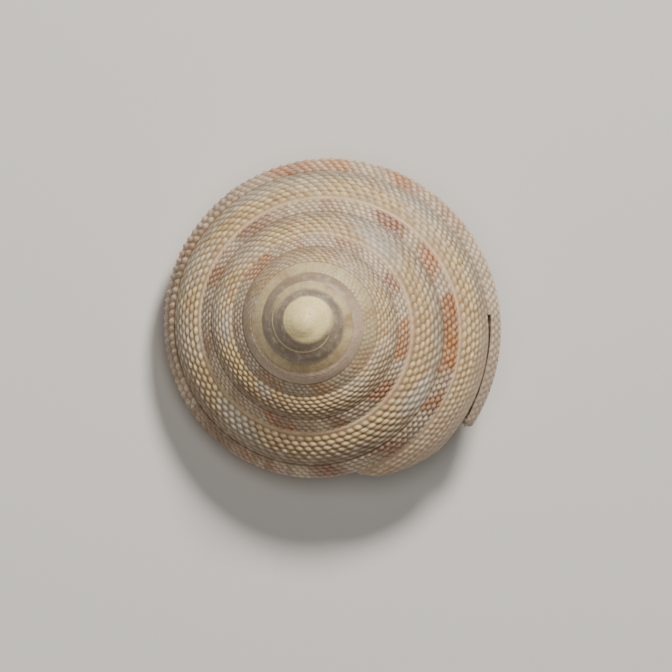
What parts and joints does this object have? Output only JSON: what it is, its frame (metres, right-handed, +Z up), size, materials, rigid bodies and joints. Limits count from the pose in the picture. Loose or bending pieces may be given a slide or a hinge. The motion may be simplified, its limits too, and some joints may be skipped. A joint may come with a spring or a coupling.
{
  "type": "slit shell",
  "caption": "Empty top-shaped sea snail shell with beaded spiral cords and a narrow slit in its outer lip, hollow at the mouth.",
  "frame": {"origin": "middle of the shell's box on the surface that it rests on", "axes": "+Z up from the surface it rests on, mouth and slit towards +X and -Y, apex leaning towards -X"},
  "size_m": [0.0492, 0.0478, 0.034],
  "materials": {
    "shell": "satin, unglazed calcium carbonate with beaded relief, cream with orange-brown flames, pearly inside the mouth"
  },
  "bodies": {
    "root": {"shell": "shell"}
  },
  "joints": []
}
